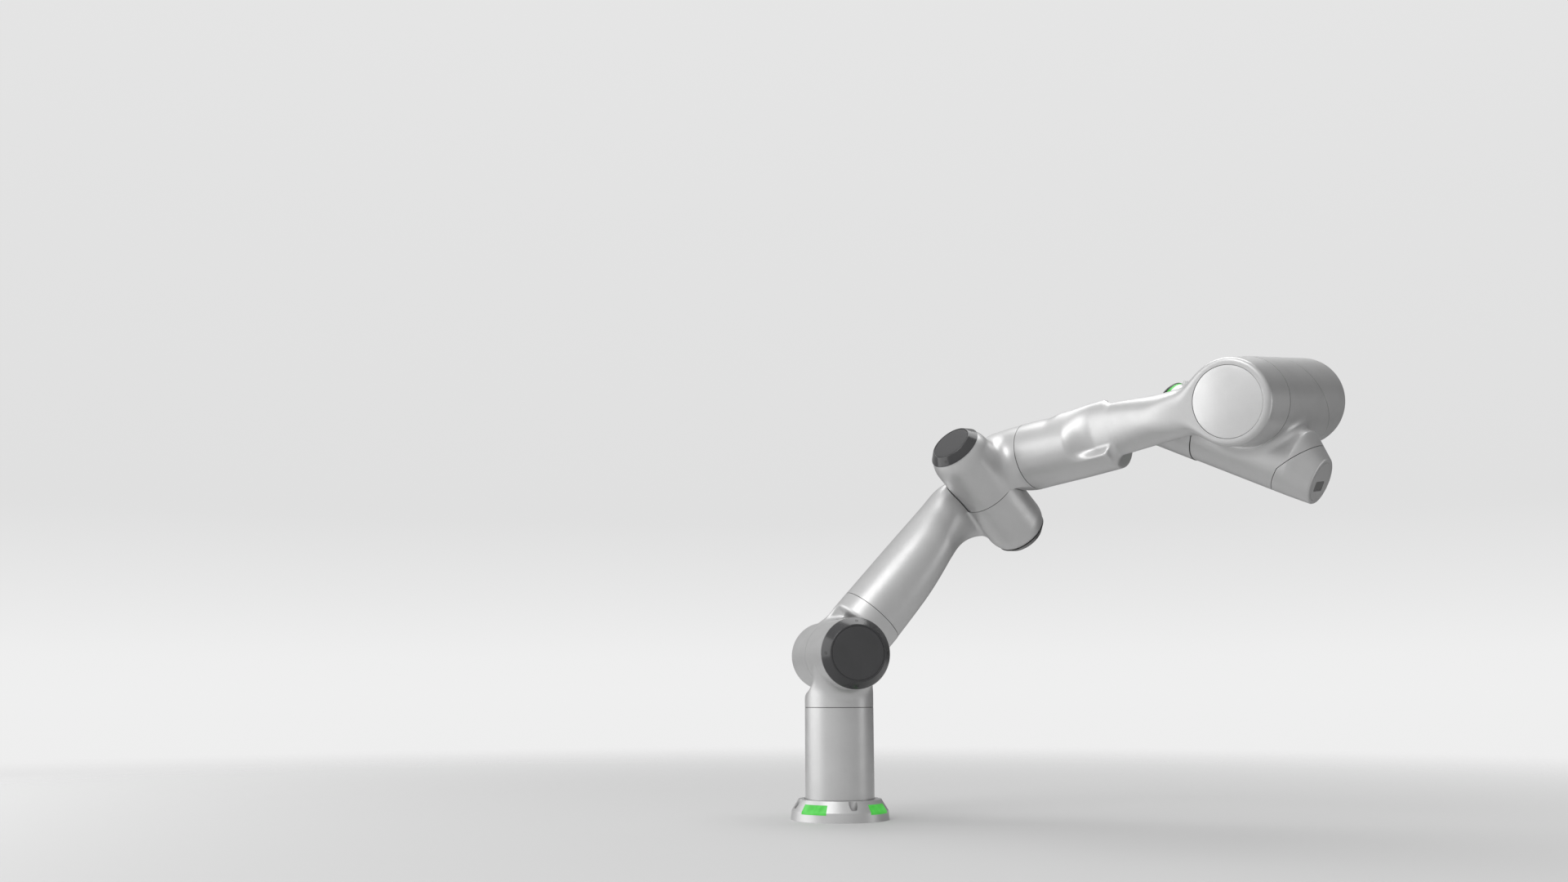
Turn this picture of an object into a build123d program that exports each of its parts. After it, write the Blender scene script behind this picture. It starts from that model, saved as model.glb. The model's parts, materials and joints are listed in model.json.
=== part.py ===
"""Seven-axis collaborative robot arm, in millimetres.

The origin is the centre of the base's underside, and +Z is the axis of joint 1.
Each link is drawn in its own frame and then placed by the arm's kinematics, so the
rest pose below is the pose in which every joint reads zero.
"""
from build123d import *
from math import atan2, cos, degrees, radians, sin
import os

# ---- rest pose: joint angles in degrees -------------------------------------------------
SHOULDER_YAW = 13.3
SHOULDER_TILT = 41.6
UPPER_ARM_ROLL = 68.9
ELBOW_BEND = 63.1
FOREARM_ROLL = 47.3
WRIST_BEND = 146.0

# ---- link lengths and offsets -----------------------------------------------------------
SHOULDER_HEIGHT = 285.6
UPPER_ARM = 414.7
ELBOW_OFFSET = 30.3
FOREARM_OFFSET = 63.8
FOREARM = 502.0
WRIST_RISE = 9.6
FLANGE_TUBE_DROP = 75.3
FLANGE_TUBE_SETBACK = 61.4

# ---- seams between links ----------------------------------------------------------------
SEAM = 1.0
J1_SEAM = 193.3
J3_SEAM = 94.7
J5_SEAM = 82.7
J7_SEAM = 75.0

# ---- housings ---------------------------------------------------------------------------
WALL = 5.0
BASE_R, BASE_RIM, BASE_TOP, BASE_TOP_R = 87.0, 16.0, 35.0, 73.0
COLUMN_R = 61.0
SHOULDER_R, SHOULDER_NEAR, SHOULDER_FAR = 62.0, 110.0, 112.0
SLANT_X, SLANT_Z, SLANT_SLOPE = 31.0, 52.0, 0.326
ELBOW_R, ELBOW_HALF, ELBOW_BEVEL = 56.0, 113.0, 13.0
FOREARM_R = 62.0
RING_R, RING_FRONT_R, RING_FRONT = 75.0, 72.2, 72.0
WRIST_R, WRIST_BACK = 77.6, 235.0
FLANGE_R = 58.7
HEAD_END, HEAD_END_R, HEAD_DROP = -138.0, 40.0, 17.0
TOOL_FACE = 156.0
LIGHT_FROM, LIGHT_TO = 145.5, 150.0
POD_ANGLE, POD_R, POD_DEEP, POD_WIDTH, POD_BOTTOM, POD_TOP = 90.0, 66.0, 14.0, 22.0, 112.0, 141.0

# ---- drive units ------------------------------------------------------------------------
WEB = 4.5
BOSS_R = 32.0
FIT = 0.08
BEARING = 14.0
HUB_DISC = 5.0
CABLE_BORE = 13.0

# ---- fasteners and interfaces -----------------------------------------------------------
BASE_BOLT_PCD, BASE_BOLT_HOLE, BASE_COUNTERBORE = 152.0, 9.0, 15.0
BASE_BOLT_ANGLE, LIGHT_ANGLE, LIGHT_SPAN = -75.0, -36.0, 35.0
TOOL_PCD, TOOL_THREAD, TOOL_PILOT, TOOL_PILOT_DEPTH = 50.0, 6.0, 31.5, 6.0
TOOL_DOWEL, TOOL_DOWEL_R, TOOL_DOWEL_DEPTH = 6.0, 34.0, 8.0
CAP_SCREW_R = 2.2


# ---- simple solids ----------------------------------------------------------------------
def along_z(a, b, r_a, r_b=None, x=0.0, y=0.0):
    """Round solid about an axis parallel to Z, from height a to height b."""
    if r_b is None or r_b == r_a:
        return Pos(x, y, (a + b) / 2) * Cylinder(r_a, b - a)
    return Pos(x, y, (a + b) / 2) * Cone(r_a, r_b, b - a)


def along_x(a, b, r_a, r_b=None):
    """Round solid about the X axis, from x = a to x = b."""
    return Rot(0, 90, 0) * along_z(a, b, r_a, r_b)


def tube(sections):
    """Smooth tube through ellipses given as (z, x, y, half width, half height)."""
    rings = [Pos(x, y, z) * Ellipse(rx, ry) for z, x, y, rx, ry in sections]
    return loft(rings)


def prism(points, plane=Plane.XZ, reach=200.0):
    """Straight-sided block whose outline lies in the given plane."""
    return extrude(plane * Polygon(*points, align=None), reach, both=True)


def frame(origin, x_axis, z_axis):
    return Plane(origin=origin, x_dir=x_axis, z_dir=z_axis)


# ---- kinematics at rest -----------------------------------------------------------------
def turned(a, b, angle):
    return a * cos(radians(angle)) + b * sin(radians(angle))


UP = Vector(0, 0, 1)
SHOULDER = UP * SHOULDER_HEIGHT
axis2 = Vector(sin(radians(SHOULDER_YAW)), -cos(radians(SHOULDER_YAW)), 0)
reach = Vector(cos(radians(SHOULDER_YAW)), sin(radians(SHOULDER_YAW)), 0)
axis3 = turned(UP, reach, SHOULDER_TILT)
axis4 = turned(axis2, axis2.cross(axis3), UPPER_ARM_ROLL)
fold = axis3.cross(axis4)
ELBOW = SHOULDER + axis3 * UPPER_ARM + fold * ELBOW_OFFSET
axis5 = turned(axis3, fold, ELBOW_BEND)
back = axis4.cross(axis5)
FOREARM_ROOT = ELBOW + back * FOREARM_OFFSET
axis6 = turned(axis4, axis5.cross(axis4), FOREARM_ROLL)
WRIST = FOREARM_ROOT + axis5 * FOREARM + axis5.cross(axis6) * WRIST_RISE
axis7 = turned(axis5, axis6.cross(axis5), WRIST_BEND)
HAND = WRIST + axis6.cross(axis7) * FLANGE_TUBE_DROP - axis6 * FLANGE_TUBE_SETBACK

FRAMES = {
    "base": frame((0, 0, 0), (1, 0, 0), UP),
    "link1": frame(SHOULDER, axis2, UP),
    "link2": frame(SHOULDER, axis2, axis3),
    "link3": frame(ELBOW, axis4, axis3),
    "link4": frame(ELBOW, axis4, axis5),
    "link5": frame(WRIST, axis6, axis5),
    "link6": frame(WRIST, axis6, axis7),
    "link7": frame(HAND, axis6, axis7),
}

pieces = {}


def keep(name, shape, where):
    """Files a piece under its name, moved from its link's frame into the arm."""
    plane = FRAMES[where] if isinstance(where, str) else where
    pieces[name] = plane.location * shape


# ---- base ---------------------------------------------------------------------------------
def base_outline(inset=0.0):
    rim = along_z(0, BASE_RIM, BASE_R - inset, BASE_R - 2 - inset)
    cone = along_z(BASE_RIM, BASE_TOP - inset, BASE_R - 2 - inset, BASE_TOP_R - inset)
    return rim + cone


def light_zone(index, grow=0.0):
    """Wedge that bounds one light window on the base's cone."""
    band = along_z(12.5 - grow, 28.5 + grow, BASE_R + 10) - along_z(0, 60, BASE_TOP_R - 4)
    half = LIGHT_SPAN / 2 + grow
    wedge_points = [(0, 0)] + [(140 * cos(radians(a)), 140 * sin(radians(a))) for a in (-half, 0, half)]
    wedge = Rot(0, 0, LIGHT_ANGLE + 90 * index) * prism(wedge_points, Plane.XY, 60)
    return band & wedge


def light_window(index):
    return (light_zone(index) & base_outline()) - base_outline(3.2)


def bolt_places(pcd, first, count=4):
    return [Rot(0, 0, first + 360 / count * i) * Pos(pcd / 2, 0, 0) for i in range(count)]


def base_housing():
    body = base_outline() + along_z(BASE_TOP, J1_SEAM - SEAM / 2, COLUMN_R)
    body -= along_z(BASE_TOP - 1.2, BASE_TOP + 1, COLUMN_R + 1.6) - along_z(0, 60, COLUMN_R - 0.8)
    body -= along_z(8, J1_SEAM - SEAM / 2 - WEB, COLUMN_R - WALL)
    body -= along_z(-1, 9, COLUMN_R - WALL - 4) + along_z(150, 200, BOSS_R + 6)
    for place in bolt_places(BASE_BOLT_PCD, BASE_BOLT_ANGLE):
        body -= place * along_z(-1, 60, BASE_BOLT_HOLE / 2)
        body -= place * along_z(20, 60, BASE_COUNTERBORE / 2)
    for index in range(4):
        body -= light_zone(index, 0.15) - base_outline(3.35)
    return body - Pos(0, COLUMN_R, 72) * Box(64, 24, 44)


def connector_panel():
    plate = Pos(0, COLUMN_R - 6, 72) * Box(63.6, 6, 43.6)
    plate &= along_z(0, 200, COLUMN_R + 1)
    for x in (-17, 17):
        plate -= Pos(x, COLUMN_R, 72) * Rot(90, 0, 0) * Cylinder(9.2, 60)
    return plate


def panel_connector(x):
    ring = Rot(90, 0, 0) * (Cylinder(9, 14) - Pos(0, 0, -4) * Cylinder(6.5, 14))
    pins = [Rot(90, 0, 0) * Rot(0, 0, 72 * i) * Pos(3.4, 0, 0) * Cylinder(0.8, 9) for i in range(5)]
    shell = ring + Rot(90, 0, 0) * Pos(0, 0, 4) * Cylinder(6.6, 5)
    for pin in pins:
        shell += pin
    return Pos(x, COLUMN_R - 5, 72) * shell


# ---- joint drives ---------------------------------------------------------------------------
def bearing(outer_r):
    ring = along_z(-WEB - BEARING - 0.6, -WEB - 0.6, outer_r)
    return ring - along_z(-40, 5, BOSS_R)


def drive_unit(r, top, length):
    """Motor and strain-wave gear in one round can, with a cable bore through it."""
    can = along_z(top - length, top - length * 0.45, r * 0.86) + along_z(top - length * 0.45, top, r)
    return can - along_z(top - length - 1, top + 1, CABLE_BORE)


def output_hub(r, shaft_length=0.0):
    """Disc bolted to the driven link; its boss turns in the bearing."""
    inner_end = -WEB - BEARING - 0.6 - shaft_length
    hub = along_z(WEB + 0.6, WEB + HUB_DISC, r) + along_z(-WEB - BEARING - 0.6, WEB + 1, BOSS_R - FIT)
    if shaft_length:
        hub += along_z(inner_end, 0, BOSS_R - 10)
    return hub - along_z(inner_end - 1, 20, CABLE_BORE)


def seal_ring(r):
    """Dark lip seal that fills the gap between two links, set just under the skin."""
    return along_z(-SEAM / 2 + 0.12, SEAM / 2 - 0.12, r - 0.8) - along_z(-5, 5, r - 7)


def add_joint(number, origin, toward_driven, bearing_r, skin_r, can_r, can_length, hub_r, shaft=0.0):
    """Files the bearing, drive, output hub and seal of one joint."""
    side = Vector(1, 0, 0) if abs(toward_driven.X) < 0.9 else Vector(0, 1, 0)
    place = frame(origin, side.cross(toward_driven), toward_driven)
    can_top = -WEB - BEARING - 0.7 - shaft
    keep(f"joint{number}_bearing", bearing(bearing_r), place)
    keep(f"joint{number}_drive_unit", drive_unit(can_r, can_top, can_length), place)
    keep(f"joint{number}_output_hub", output_hub(hub_r, shaft), place)
    keep(f"joint{number}_seal", seal_ring(skin_r), place)


# ---- round caps -----------------------------------------------------------------------------
def dark_cap(x, r, face_x, face_r, mouth_r):
    """Truncated cone cap, on the side of x that points outwards, with a spigot inward."""
    side = 1 if face_x > x else -1
    cone = along_x(x + 0.2, face_x, r, face_r) if side > 0 else along_x(face_x, x - 0.2, face_r, r)
    rim = along_x(min(face_x, face_x - 1.6 * side), max(face_x, face_x - 1.6 * side), face_r - 2)
    spigot_ends = sorted((x + 0.2 * side, x - 7 * side))
    spigot = along_x(*spigot_ends, mouth_r - 0.2) - along_x(-300, 300, mouth_r - 6)
    ends, radii = (x - side, face_x - 4 * side), (mouth_r - 6, face_r - 6)
    hollow = along_x(*ends, *radii) if side > 0 else along_x(*reversed(ends), *reversed(radii))
    cap = cone + spigot - hollow + rim
    for place in cap_screw_places(x, r, face_x, face_r):
        cap -= place * Cylinder(CAP_SCREW_R + 0.25, 7)
    return cap


def cap_screw_places(x, r, face_x, face_r):
    """Four places on the cap's cone, each with Z square to the cone's surface."""
    slope = degrees(atan2(abs(face_x - x), r - face_r))
    side = 1 if face_x > x else -1
    mid_x, mid_r = (x + face_x) / 2, (r + face_r) / 2
    tilt = Rot(0, slope * side, 0)
    return [Rot(90 * i, 0, 0) * Pos(mid_x, 0, mid_r) * tilt for i in range(4)]


def cap_screws(x, r, face_x, face_r):
    head = Pos(0, 0, -2.1) * Cylinder(CAP_SCREW_R, 2.4)
    head -= Pos(0, 0, -1.2) * extrude(RegularPolygon(1.2, 6), 1.5, both=True)
    return Compound(children=[place * head for place in cap_screw_places(x, r, face_x, face_r)])


# ---- links with a cross housing ---------------------------------------------------------------
def slant_cut(side, up, inset=0.0):
    """Removes the shoulder of a tube on the side where the other link's housing turns."""
    edge_x, edge_z = side * SLANT_X, up * (SLANT_Z + inset)
    far_x = -side * 150.0
    far_z = edge_z + up * SLANT_SLOPE * abs(edge_x - far_x)
    return prism([(edge_x, edge_z), (far_x, far_z), (far_x, -up * 200), (edge_x, -up * 200)])


def shoulder_tube(side, up, seam, skin):
    """Straight tube of link 1 or link 2, cut clear of the half that belongs to its neighbour."""
    r = COLUMN_R - skin
    ends = sorted((0.0, seam + (up * 10 if skin else -up * SEAM / 2)))
    body = along_z(*ends, r) - slant_cut(side, up, skin * 1.2)
    clear = SHOULDER_R + 1.2 + skin
    edge = side * (SEAM / 2 + skin)
    return body - along_x(*sorted((-side * 200, edge)), clear)


def link1_shell():
    half = along_x(SEAM / 2, SHOULDER_NEAR, SHOULDER_R)
    seam = J1_SEAM - SHOULDER_HEIGHT
    outer = shoulder_tube(1, -1, seam, 0) + half
    web_top = seam + SEAM / 2 + WEB
    inner = shoulder_tube(1, -1, seam, WALL) & along_z(web_top, 200, 200)
    inner += along_x(SEAM / 2 + WEB, SHOULDER_NEAR + 1, SHOULDER_R - WALL)
    mouths = along_z(seam - 1, -50, BOSS_R + 6) + along_x(-1, 10, BOSS_R + 6)
    return outer - inner - (mouths & along_z(seam - 1, 80, 70))


def link2_shell():
    half = along_x(-SHOULDER_FAR, -SEAM / 2, SHOULDER_R)
    half = fillet(half.edges().sort_by(Axis.X)[0], 8)
    outer = shoulder_tube(-1, 1, J3_SEAM, 0) + half
    inner = shoulder_tube(-1, 1, J3_SEAM, WALL) & along_z(-100, J3_SEAM - SEAM / 2 - WEB, 200)
    inner += along_x(-SHOULDER_FAR + 8, -SEAM / 2 - WEB, SHOULDER_R - WALL)
    inner += along_x(-SHOULDER_FAR - 1, -60, SHOULDER_R - 12)
    return outer - inner - along_z(50, J3_SEAM + 1, BOSS_R + 6) - along_x(-10, 1, BOSS_R + 6)


def upper_arm_tube(skin):
    y = -ELBOW_OFFSET
    root = J3_SEAM - UPPER_ARM
    first = root + (WEB + SEAM / 2 if skin else SEAM / 2)
    sections = [
        (first, 0, y, 61, 61), (-225, 1.5, y, 58, 58), (-137, 6, y, 51.5, 54),
        (-85, 2, y + 2, 53, 54), (-42, -25, y + 8, 51, 51), (0, -54, -12, 48, 44),
    ]
    body = tube([(z, x, yy, rx - skin, ry - skin) for z, x, yy, rx, ry in sections])
    clear = ELBOW_R + 1.5 + skin
    return body - along_x(-SEAM / 2 - skin, 200, clear)


def elbow_half(side, skin=0.0):
    """Half of the elbow's cross cylinder, with its bevel towards the cap."""
    inner, knee, end = SEAM / 2, ELBOW_HALF - ELBOW_BEVEL, ELBOW_HALF
    if skin:
        inner, knee, end = SEAM / 2 + WEB, ELBOW_HALF - ELBOW_BEVEL, ELBOW_HALF + 1
    half = along_x(inner, knee, ELBOW_R - skin)
    half += along_x(knee, end, ELBOW_R - skin, ELBOW_R - 6 - skin)
    return half if side > 0 else Rot(0, 0, 180) * half


def link3_shell():
    outer = upper_arm_tube(0) + elbow_half(-1)
    inner = upper_arm_tube(WALL) + elbow_half(-1, WALL)
    root = J3_SEAM - UPPER_ARM
    mouth = along_z(root - 1, root + 12, BOSS_R + 6, y=-ELBOW_OFFSET) + along_x(-10, 1, BOSS_R + 6)
    return outer - inner - mouth


def elbow_neck(skin):
    y = -FOREARM_OFFSET
    top = J5_SEAM - SEAM / 2 - (WEB if skin else 0)
    sections = [
        (-14, 50, -22, 34, 30), (12, 38, -38, 46, 46), (48, 8, y + 4, 58, 59), (top, 0, y, 62, 62),
    ]
    body = tube([(z, x, yy, rx - skin, ry - skin) for z, x, yy, rx, ry in sections])
    return body - along_x(-200, SEAM / 2 + skin, ELBOW_R + 1.5 + skin)


def link4_shell():
    outer = elbow_neck(0) + elbow_half(1)
    inner = elbow_neck(WALL) + elbow_half(1, WALL)
    mouth = along_z(J5_SEAM - 12, J5_SEAM + 1, BOSS_R + 6, y=-FOREARM_OFFSET) + along_x(-1, 10, BOSS_R + 6)
    return outer - inner - mouth


def forearm_root(skin):
    y = -WRIST_RISE
    start = J5_SEAM - FOREARM + SEAM / 2 + (WEB if skin else 0)
    sections = [(start, 0, y, 62, 62), (-375, 0, y + 2, 60.5, 61), (-300, 0, y + 4, 59.5, 59.5)]
    sections += [(-262 - skin, 0, y + 5, 57, 57), (-244 - skin, 4, y + 5, 46, 46)]
    return tube([(z, x, yy, rx - skin, ry - skin) for z, x, yy, rx, ry in sections])


def forearm_neck(skin):
    sections = [
        (-318, 14, -8, 40, 44), (-262, 31, -20, 36, 48), (-210, 39, -18, 31, 44), (-145, 41, -12.5, 29, 41),
        (-100, 41, -5.5, 29, 41), (-66, 41, -3, 29, 49), (-20, 40, 0, 28, 66),
    ]
    return tube([(z, x, yy, rx - skin, ry - skin) for z, x, yy, rx, ry in sections])


def link5_shell():
    ring = along_x(SEAM / 2, RING_FRONT, RING_R, RING_FRONT_R)
    outer = forearm_root(0) + forearm_neck(0) + fillet(ring.edges().sort_by(Axis.X)[-1], 5)
    inner = forearm_root(WALL) + forearm_neck(WALL)
    inner += along_x(SEAM / 2 + WEB, RING_FRONT - 4, RING_FRONT_R - WALL)
    mouth = along_x(-1, 10, BOSS_R + 6) + along_x(RING_FRONT - 8, RING_FRONT + 1, 60.3)
    root = J5_SEAM - FOREARM
    mouth += along_z(root - 1, root + 12, BOSS_R + 6, y=-WRIST_RISE)
    return outer - inner - mouth


def wrist_cover():
    """Pale domed cover in the forearm's end ring."""
    dome_r = 60.0
    rise = 3.0
    sphere_r = (dome_r ** 2 + rise ** 2) / (2 * rise)
    dome = along_x(RING_FRONT - 6, RING_FRONT + 6, dome_r)
    dome &= Pos(RING_FRONT + rise - sphere_r, 0, 0) * Sphere(sphere_r)
    return dome


# ---- wrist ----------------------------------------------------------------------------------
def rear_plane_block():
    """Everything behind the slanted split of the wrist's rear cover."""
    return prism([(-104, 75), (-238, -77), (-300, -150), (-500, -150), (-500, 150), (-38, 150)], Plane.XY)


def wrist_barrel(skin=0.0):
    front = -SEAM / 2 - (WEB if skin else 0)
    back = -WRIST_BACK + (WALL if skin else 0)
    barrel = along_x(-100, front, WRIST_R - 0.4 - skin, RING_R + 0.5 - skin)
    rear = along_x(back, -100, WRIST_R - skin, WRIST_R - 0.4 - skin)
    if not skin:
        rear = fillet(rear.edges().sort_by(Axis.X)[0], 4)
    return barrel + rear


def hand_tube(skin=0.0):
    """Tube that carries joint 7, with its tapered closed end."""
    x, y = -FLANGE_TUBE_SETBACK, -FLANGE_TUBE_DROP
    r = FLANGE_R - skin
    end = HEAD_END + (WALL if skin else 0)
    top = J7_SEAM - SEAM / 2 - (WEB if skin else 0)
    straight = along_z(-98, top, r, x=x, y=y)
    taper = loft([
        Pos(x, y, -98) * Circle(r),
        Pos(x, y - HEAD_DROP * (-98 - end) / 40, end) * Circle(HEAD_END_R - skin),
    ])
    return straight + taper


def head_block():
    """Everything beyond the kinked seam of the head cover."""
    y = -FLANGE_TUBE_DROP
    outline = [(y - 90, -65), (y - 12, -83), (y + 52, -128), (y + 90, -155), (y + 90, -400), (y - 90, -400)]
    return prism(outline, Plane.YZ, 300)


def link6_shell():
    outer = wrist_barrel() + hand_tube()
    inner = wrist_barrel(WALL) + hand_tube(WALL)
    body = outer - inner - rear_plane_block() - (head_block() & hand_only())
    mouth = along_x(-10, 1, BOSS_R + 6)
    mouth += along_z(J7_SEAM - 12, J7_SEAM + 1, BOSS_R + 6, x=-FLANGE_TUBE_SETBACK, y=-FLANGE_TUBE_DROP)
    return body - mouth


def hand_only():
    """Space outside the wrist's barrel, where only the hand tube is."""
    return Box(600, 600, 600) - along_x(-400, 100, WRIST_R + 1.5)


def wrist_rear_cover():
    return ((wrist_barrel() - wrist_barrel(WALL)) & (Pos(-0.3, 0, 0) * rear_plane_block())) - hand_tube()


def head_cover():
    cover = (hand_tube() - hand_tube(WALL)) & (Pos(0, 0, -0.3) * head_block()) & hand_only()
    return cover - head_panel_outline(0.2)


def head_panel_outline(grow=0.0):
    x, y = -FLANGE_TUBE_SETBACK, -FLANGE_TUBE_DROP - HEAD_DROP
    return Pos(x, y, HEAD_END + 1.1) * extrude(Ellipse(31 + grow, 33 + grow), 2.4, both=True)


def window_outline(grow=0.0):
    x, y = -FLANGE_TUBE_SETBACK, -FLANGE_TUBE_DROP - HEAD_DROP - 8
    return Pos(x, y, HEAD_END) * extrude(RectangleRounded(34 + grow, 17 + grow, 3), 1.2, both=True)


def head_panel():
    return (head_panel_outline() & hand_tube()) - window_outline(0.3)


def head_window():
    return window_outline() & hand_tube()


# ---- tool flange ----------------------------------------------------------------------------
def tool_flange_body():
    body = along_z(J7_SEAM + SEAM / 2, LIGHT_FROM, FLANGE_R)
    body -= along_z(J7_SEAM + SEAM / 2 + WEB, LIGHT_FROM - WALL, FLANGE_R - WALL)
    return body - along_z(J7_SEAM, J7_SEAM + 20, BOSS_R + 6) - along_z(100, 140, BOSS_R)


def tool_light_ring():
    return along_z(LIGHT_FROM + 0.1, LIGHT_TO - 0.1, FLANGE_R - 0.4) - along_z(100, 160, FLANGE_R - 8)


def tool_flange_plate():
    plate = along_z(LIGHT_TO, TOOL_FACE - 3, FLANGE_R)
    plate += along_z(TOOL_FACE - 3, TOOL_FACE, FLANGE_R, FLANGE_R - 3)
    plate += along_z(LIGHT_FROM + 0.1, LIGHT_TO + 1, FLANGE_R - 8.2)
    plate -= along_z(TOOL_FACE - TOOL_PILOT_DEPTH, TOOL_FACE + 1, TOOL_PILOT / 2)
    plate -= along_z(100, 170, CABLE_BORE)
    for place in bolt_places(TOOL_PCD, 45):
        plate -= place * along_z(TOOL_FACE - 12, TOOL_FACE + 1, TOOL_THREAD / 2)
    return plate - along_z(TOOL_FACE - TOOL_DOWEL_DEPTH, TOOL_FACE + 1, TOOL_DOWEL / 2, x=TOOL_DOWEL_R)


def pod_block():
    """Rounded block on the side of the flange body, before it is cut to the body's skin."""
    block = Pos(POD_R - POD_DEEP / 2, 0, (POD_TOP + POD_BOTTOM) / 2)
    block *= Box(POD_DEEP, POD_WIDTH, POD_TOP - POD_BOTTOM)
    return fillet(block.edges().filter_by(Axis.X), 4)


def tool_connector():
    """Low socket pod on the side of the tool flange, for a gripper's cable."""
    body = pod_block() - along_z(80, 160, FLANGE_R + 0.05)
    body -= along_z(POD_TOP - 6, POD_TOP + 1, 2.6, x=FLANGE_R + 3.7)
    return Rot(0, 0, POD_ANGLE) * body


def tool_connector_socket():
    socket = along_z(POD_TOP - 5.9, POD_TOP - 1, 2.5, x=FLANGE_R + 3.7)
    for i in range(4):
        pin = Pos(FLANGE_R + 3.7, 0, 0) * Rot(0, 0, 90 * i) * along_z(POD_TOP - 3, POD_TOP, 0.4, x=1.3)
        socket -= pin
    return Rot(0, 0, POD_ANGLE) * socket


# ---- assembly -------------------------------------------------------------------------------
def build():
    keep("base_housing", base_housing(), "base")
    keep("base_bottom_plate", along_z(0.2, 3.2, COLUMN_R - WALL - 4.3) - along_z(-1, 5, 12), "base")
    keep("base_light_windows", Compound(children=[light_window(i) for i in range(4)]), "base")
    keep("base_connector_panel", connector_panel(), "base")
    keep("base_connectors", Compound(children=[panel_connector(x) for x in (-17, 17)]), "base")

    keep("link1_shoulder_housing", link1_shell(), "link1")
    near_cap = (SHOULDER_NEAR, SHOULDER_R, 126.6, 48.8)
    keep("shoulder_front_cap", dark_cap(*near_cap, SHOULDER_R - WALL), "link1")
    keep("shoulder_front_cap_screws", cap_screws(*near_cap), "link1")

    keep("link2_shoulder_housing", link2_shell(), "link2")
    rear_cap = (-SHOULDER_FAR, SHOULDER_R - 8.2, -SHOULDER_FAR - 8, 42.0)
    keep("shoulder_rear_cap", dark_cap(*rear_cap, SHOULDER_R - 12), "link2")
    keep("shoulder_rear_cap_screws", cap_screws(*rear_cap), "link2")

    keep("link3_upper_arm_housing", link3_shell(), "link3")
    elbow_rear = (-ELBOW_HALF, ELBOW_R - 6, -ELBOW_HALF - 13.5, 38.2)
    keep("elbow_rear_cap", dark_cap(*elbow_rear, ELBOW_R - 11), "link3")
    keep("elbow_rear_cap_screws", cap_screws(*elbow_rear), "link3")

    keep("link4_elbow_housing", link4_shell(), "link4")
    elbow_front = (ELBOW_HALF, ELBOW_R - 6, ELBOW_HALF + 13.5, 38.2)
    keep("elbow_front_cap", dark_cap(*elbow_front, ELBOW_R - 11), "link4")
    keep("elbow_front_cap_screws", cap_screws(*elbow_front), "link4")

    keep("link5_forearm_housing", link5_shell(), "link5")
    keep("wrist_front_cover", wrist_cover(), "link5")

    keep("link6_wrist_housing", link6_shell(), "link6")
    keep("wrist_rear_cover", wrist_rear_cover(), "link6")
    keep("head_cover", head_cover(), "link6")
    keep("head_panel", head_panel(), "link6")
    keep("head_window", head_window(), "link6")

    keep("tool_flange_body", tool_flange_body(), "link7")
    keep("tool_light_ring", tool_light_ring(), "link7")
    keep("tool_flange_plate", tool_flange_plate(), "link7")
    keep("tool_connector", tool_connector(), "link7")
    keep("tool_connector_socket", tool_connector_socket(), "link7")

    add_joint(1, UP * J1_SEAM, UP, COLUMN_R - WALL - 0.1, COLUMN_R, 50, 95, 40)
    add_joint(2, SHOULDER, axis2 * -1, SHOULDER_R - WALL - 0.1, SHOULDER_R, 52, 80, 48)
    add_joint(3, SHOULDER + axis3 * J3_SEAM, axis3 * -1, 52, COLUMN_R, 47, 92, 40)
    add_joint(4, ELBOW, axis4 * -1, ELBOW_R - WALL - 0.1, ELBOW_R, 45, 78, 44)
    add_joint(5, FOREARM_ROOT + axis5 * J5_SEAM, axis5 * -1, 52, FOREARM_R, 47, 92, 44)
    add_joint(6, WRIST, axis6, 66, RING_R, 71, 82, 50, shaft=105)
    add_joint(7, HAND + axis7 * J7_SEAM, axis7, 50, FLANGE_R, 42, 90, 44)


build()
os.makedirs("parts", exist_ok=True)
for name, shape in pieces.items():
    export_step(shape, f"parts/{name}.step")
    print(f"{name}: {shape.volume:.0f} mm3, {len(shape.solids())} solid(s)")
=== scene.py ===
"""Looks of the seven-axis robot arm: cast shells, caps, light rings, floor, lights and camera.

Lengths in this script are millimetres in a link's own frame until make_mesh places them,
in metres, in the row's frame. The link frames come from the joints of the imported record.
The floor, the lights and the camera are in metres.
"""

import json
import math

import bpy
import numpy as np
from mathutils import Matrix, Vector


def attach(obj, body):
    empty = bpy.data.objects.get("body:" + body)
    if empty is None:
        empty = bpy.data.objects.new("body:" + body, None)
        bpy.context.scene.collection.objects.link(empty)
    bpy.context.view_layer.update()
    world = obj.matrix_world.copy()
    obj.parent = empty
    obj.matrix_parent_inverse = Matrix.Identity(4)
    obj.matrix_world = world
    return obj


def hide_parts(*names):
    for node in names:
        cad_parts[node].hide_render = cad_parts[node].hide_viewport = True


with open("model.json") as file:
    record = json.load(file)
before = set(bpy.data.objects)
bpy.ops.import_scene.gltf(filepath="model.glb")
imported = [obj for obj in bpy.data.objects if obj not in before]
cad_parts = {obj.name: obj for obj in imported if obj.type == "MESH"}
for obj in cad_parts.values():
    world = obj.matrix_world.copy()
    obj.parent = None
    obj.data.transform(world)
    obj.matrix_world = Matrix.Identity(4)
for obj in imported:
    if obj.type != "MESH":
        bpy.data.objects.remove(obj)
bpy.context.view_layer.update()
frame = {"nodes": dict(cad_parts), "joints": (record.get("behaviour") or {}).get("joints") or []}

# ---- link frames, from the joints -----------------------------------------------------------
joint_at = [np.array(j["pos_m"]) * 1000 for j in frame["joints"]]
joint_axis = [np.array(j["axis"]) / np.linalg.norm(j["axis"]) for j in frame["joints"]]
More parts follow.
